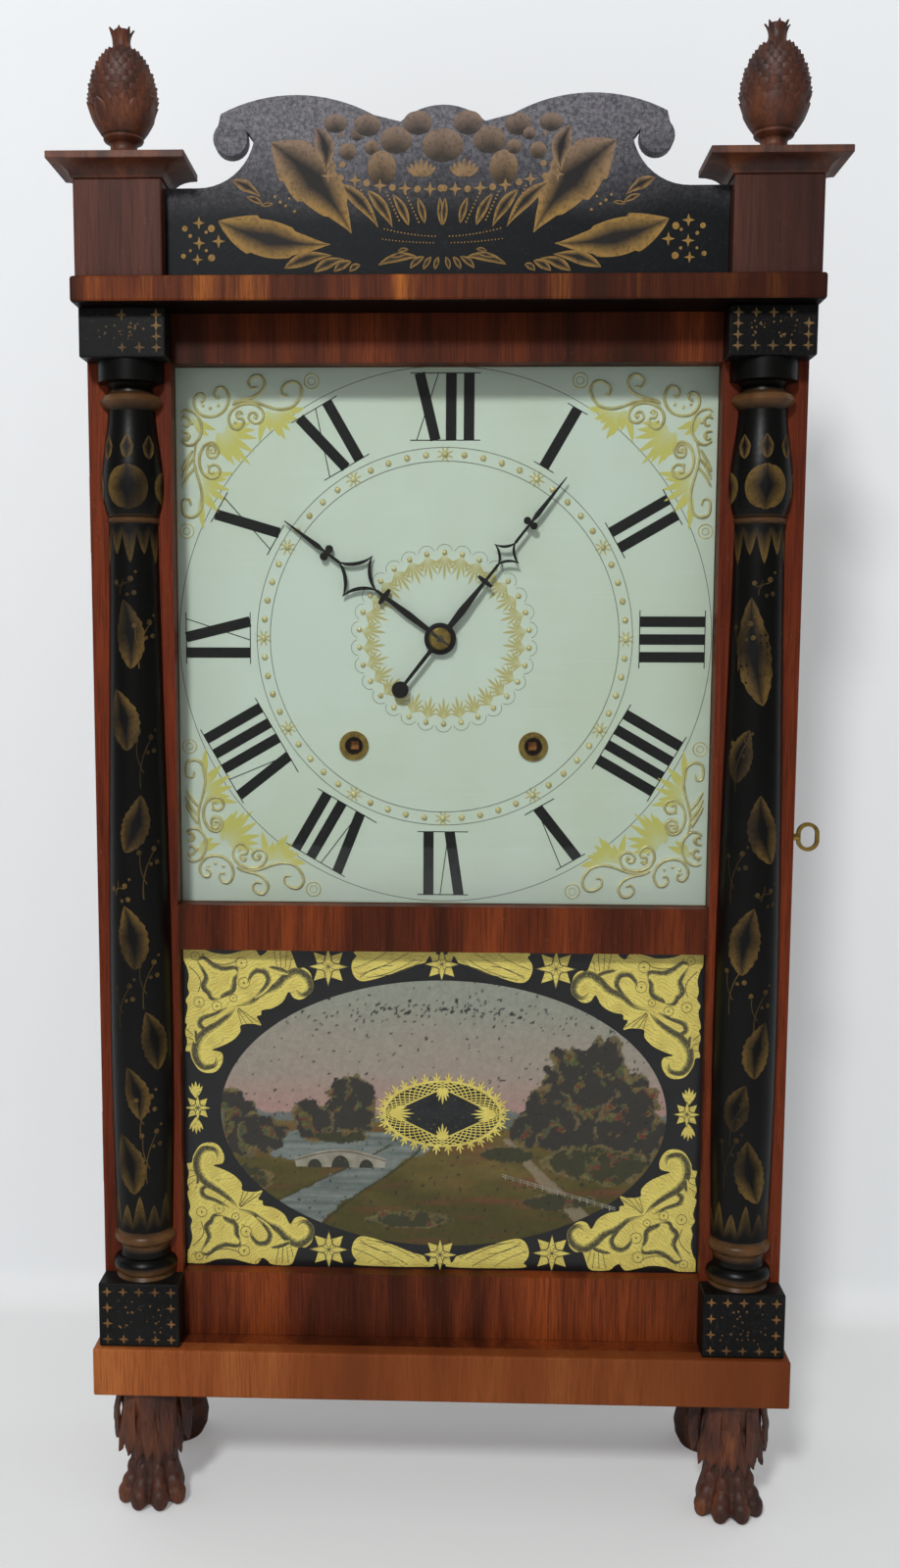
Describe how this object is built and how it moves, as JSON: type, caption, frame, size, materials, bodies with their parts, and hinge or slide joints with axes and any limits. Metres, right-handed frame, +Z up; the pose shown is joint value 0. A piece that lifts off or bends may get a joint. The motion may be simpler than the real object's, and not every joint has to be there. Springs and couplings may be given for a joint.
{
  "type": "column and splat shelf clock",
  "caption": "Column and splat shelf clock with half columns, pineapple finials, paw feet, painted dial and tablet, and a wooden weight-driven movement.",
  "frame": {"origin": "middle of the clock's box on the surface that its feet stand on", "axes": "+X to the viewer's right across the dial, +Y from the dial to the back, +Z up"},
  "size_m": [0.4482, 0.141, 0.8736],
  "materials": {
    "carved_wood": "varnished dark mahogany, carved",
    "plinth_wood": "varnished mahogany veneer, orange brown",
    "cornice_wood": "varnished mahogany veneer, vertical stripe",
    "block_wood": "varnished mahogany veneer, purple brown",
    "side_wood": "varnished mahogany",
    "stile_wood": "varnished crotch mahogany veneer",
    "rail_wood": "varnished mahogany veneer",
    "strip_wood": "plain wood",
    "black_paint": "black japanned with bronze stencil",
    "pine": "bare pine",
    "label_paper": "plain aged paper",
    "dial_paint": "off-white painted wood",
    "oak": "quartered oak",
    "cherry": "turned cherry",
    "brass": "aged brass",
    "steel_wire": "drawn wire",
    "iron": "dark iron",
    "hand_iron": "black painted iron",
    "cord": "twisted linen cord",
    "clear_glass": "old window glass",
    "painted_glass": "glass painted on its back"
  },
  "bodies": {
    "case": {"front_feet": "carved_wood", "back_feet": "carved_wood", "plinth": "plinth_wood", "case_floor": "pine", "glue_blocks": "pine", "side_left": "side_wood", "side_right": "side_wood", "backboard": "pine", "paper_label": "label_paper", "cornice_board": "cornice_wood", "finial_blocks": "block_wood", "block_caps": "carved_wood", "finials": "carved_wood", "splat": "black_paint", "movement_posts": "pine", "dial_rails": "pine", "dial_board": "dial_paint", "dial_grommets": "brass", "front_plate": "oak", "back_plate": "oak", "pulley_brackets": "iron", "bell": "iron", "cord_risers": "cord", "lock_case": "brass", "case_hinge_leaves": "brass", "time_cord_fall": "cord", "strike_cord_fall": "cord"},
    "door": {"door_stiles": "stile_wood", "door_rails": "rail_wood", "half_columns": "black_paint", "column_blocks": "black_paint", "dial_glass": "clear_glass", "tablet_glass": "painted_glass", "glazing_strips": "strip_wood", "door_hinge_leaves": "brass"},
    "key": {"key": "brass"},
    "bolt": {"lock_bolt": "brass"},
    "dial_button": {"dial_button": "pine"},
    "time_weight": {"time_weight": "iron"},
    "strike_weight": {"strike_weight": "iron"},
    "time_drum": {"time_drum": "cherry"},
    "strike_drum": {"strike_drum": "cherry"},
    "time_pulley": {"time_pulley": "cherry"},
    "strike_pulley": {"strike_pulley": "cherry"},
    "minute_hand": {"cannon_pinion": "cherry", "minute_hand": "hand_iron"},
    "hour_hand": {"hour_wheel": "cherry", "hour_hand": "hand_iron"},
    "minute_wheel": {"minute_wheel": "cherry"},
    "centre_wheel": {"centre_wheel": "cherry"},
    "time_second_wheel": {"time_second_wheel": "cherry"},
    "time_great_wheel": {"time_great_wheel": "cherry"},
    "escape_wheel": {"escape_wheel": "brass"},
    "pin_wheel": {"pin_wheel": "cherry"},
    "strike_great_wheel": {"strike_great_wheel": "cherry"},
    "fly": {"fly": "cherry"},
    "pendulum": {"pendulum_rod": "steel_wire", "pendulum_bob": "brass"},
    "verge": {"verge": "steel_wire"},
    "hammer": {"hammer": "iron"}
  },
  "joints": [
    {"name": "door_hinge", "type": "hinge", "parent": "case", "child": "door", "pos_m": [-0.2101, -0.01385, 0.4], "axis": [0, 0, -1], "range_deg": [0, 110]},
    {"name": "key_turn", "type": "hinge", "parent": "case", "child": "key", "pos_m": [0.2, -0.007, 0.419], "axis": [1, 0, 0], "range_deg": [0, 60]},
    {"name": "bolt_throw", "type": "slide", "parent": "case", "child": "bolt", "axis": [0, -1, 0], "range_m": [0, 0.005]},
    {"name": "dial_button_turn", "type": "hinge", "parent": "case", "child": "dial_button", "pos_m": [0, -0.009, 0.3623], "axis": [0, 1, 0], "range_deg": [0, 90]},
    {"name": "time_weight_rise", "type": "slide", "parent": "case", "child": "time_weight", "axis": [0, 0, 1], "range_m": [0, 0.4], "deforming": ["time_cord_fall"]},
    {"name": "strike_weight_rise", "type": "slide", "parent": "case", "child": "strike_weight", "axis": [0, 0, 1], "range_m": [0, 0.4], "deforming": ["strike_cord_fall"]},
    {"name": "time_winding", "type": "hinge", "parent": "case", "child": "time_drum", "pos_m": [0.0545, 0.027, 0.473], "axis": [0, 1, 0], "range_deg": [-1342, 0]},
    {"name": "strike_winding", "type": "hinge", "parent": "case", "child": "strike_drum", "pos_m": [-0.0545, 0.027, 0.473], "axis": [0, 1, 0], "range_deg": [0, 1342]},
    {"name": "time_pulley_turn", "type": "hinge", "parent": "case", "child": "time_pulley", "pos_m": [0.13, 0.035, 0.7], "axis": [0, 1, 0], "range_deg": [-1627, 0]},
    {"name": "strike_pulley_turn", "type": "hinge", "parent": "case", "child": "strike_pulley", "pos_m": [-0.13, 0.035, 0.7], "axis": [0, 1, 0], "range_deg": [0, 1627]},
    {"name": "minute_hand_turn", "type": "hinge", "parent": "case", "child": "minute_hand", "pos_m": [-0.0023, -0.013, 0.538], "axis": [0, 1, 0], "continuous": true},
    {"name": "hour_hand_turn", "type": "hinge", "parent": "case", "child": "hour_hand", "pos_m": [-0.0023, -0.011, 0.538], "axis": [0, 1, 0], "continuous": true},
    {"name": "minute_wheel_turn", "type": "hinge", "parent": "case", "child": "minute_wheel", "pos_m": [0.01467, 0.009, 0.52103], "axis": [0, 1, 0], "continuous": true},
    {"name": "centre_wheel_turn", "type": "hinge", "parent": "case", "child": "centre_wheel", "pos_m": [-0.0023, 0.027, 0.538], "axis": [0, 1, 0], "continuous": true},
    {"name": "time_second_turn", "type": "hinge", "parent": "case", "child": "time_second_wheel", "pos_m": [0.02149, 0.027, 0.50147], "axis": [0, 1, 0], "continuous": true},
    {"name": "time_great_turn", "type": "hinge", "parent": "case", "child": "time_great_wheel", "pos_m": [0.0545, 0.027, 0.473], "axis": [0, 1, 0], "continuous": true},
    {"name": "escape_turn", "type": "hinge", "parent": "case", "child": "escape_wheel", "pos_m": [-0.0163, 0.027, 0.57117], "axis": [0, 1, 0], "continuous": true},
    {"name": "pin_wheel_turn", "type": "hinge", "parent": "case", "child": "pin_wheel", "pos_m": [-0.05981, 0.027, 0.51627], "axis": [0, 1, 0], "continuous": true},
    {"name": "strike_great_turn", "type": "hinge", "parent": "case", "child": "strike_great_wheel", "pos_m": [-0.0545, 0.027, 0.473], "axis": [0, 1, 0], "continuous": true},
    {"name": "fly_turn", "type": "hinge", "parent": "case", "child": "fly", "pos_m": [-0.05408, 0.027, 0.54877], "axis": [0, 1, 0], "continuous": true},
    {"name": "pendulum_swing", "type": "hinge", "parent": "case", "child": "pendulum", "pos_m": [-0.0163, 0.0032, 0.60717], "axis": [0, 1, 0], "range_deg": [-4, 4]},
    {"name": "verge_rock", "type": "hinge", "parent": "case", "child": "verge", "pos_m": [-0.0163, 0.027, 0.59917], "axis": [0, 1, 0], "range_deg": [-4, 4]},
    {"name": "hammer_lift", "type": "hinge", "parent": "case", "child": "hammer", "pos_m": [-0.03, 0.035, 0.61], "axis": [0, -1, 0], "range_deg": [0, 14]}
  ],
  "couplings": [
    {"joint": "bolt_throw", "follows": "key_turn", "m_per_rad": 0.0047746},
    {"joint": "time_winding", "follows": "time_weight_rise", "rad_per_m": -58.48},
    {"joint": "strike_winding", "follows": "strike_weight_rise", "rad_per_m": 58.48},
    {"joint": "time_pulley_turn", "follows": "time_weight_rise", "rad_per_m": -70.922},
    {"joint": "strike_pulley_turn", "follows": "strike_weight_rise", "rad_per_m": 70.922},
    {"joint": "hour_hand_turn", "follows": "minute_hand_turn", "ratio": 0.083333},
    {"joint": "minute_wheel_turn", "follows": "minute_hand_turn", "ratio": -0.33333},
    {"joint": "time_second_turn", "follows": "centre_wheel_turn", "ratio": -0.22222},
    {"joint": "time_great_turn", "follows": "centre_wheel_turn", "ratio": 0.049383},
    {"joint": "escape_turn", "follows": "centre_wheel_turn", "ratio": -5},
    {"joint": "strike_great_turn", "follows": "pin_wheel_turn", "ratio": -0.22222},
    {"joint": "fly_turn", "follows": "pin_wheel_turn", "ratio": -4.5},
    {"joint": "verge_rock", "follows": "pendulum_swing", "ratio": 1}
  ]
}
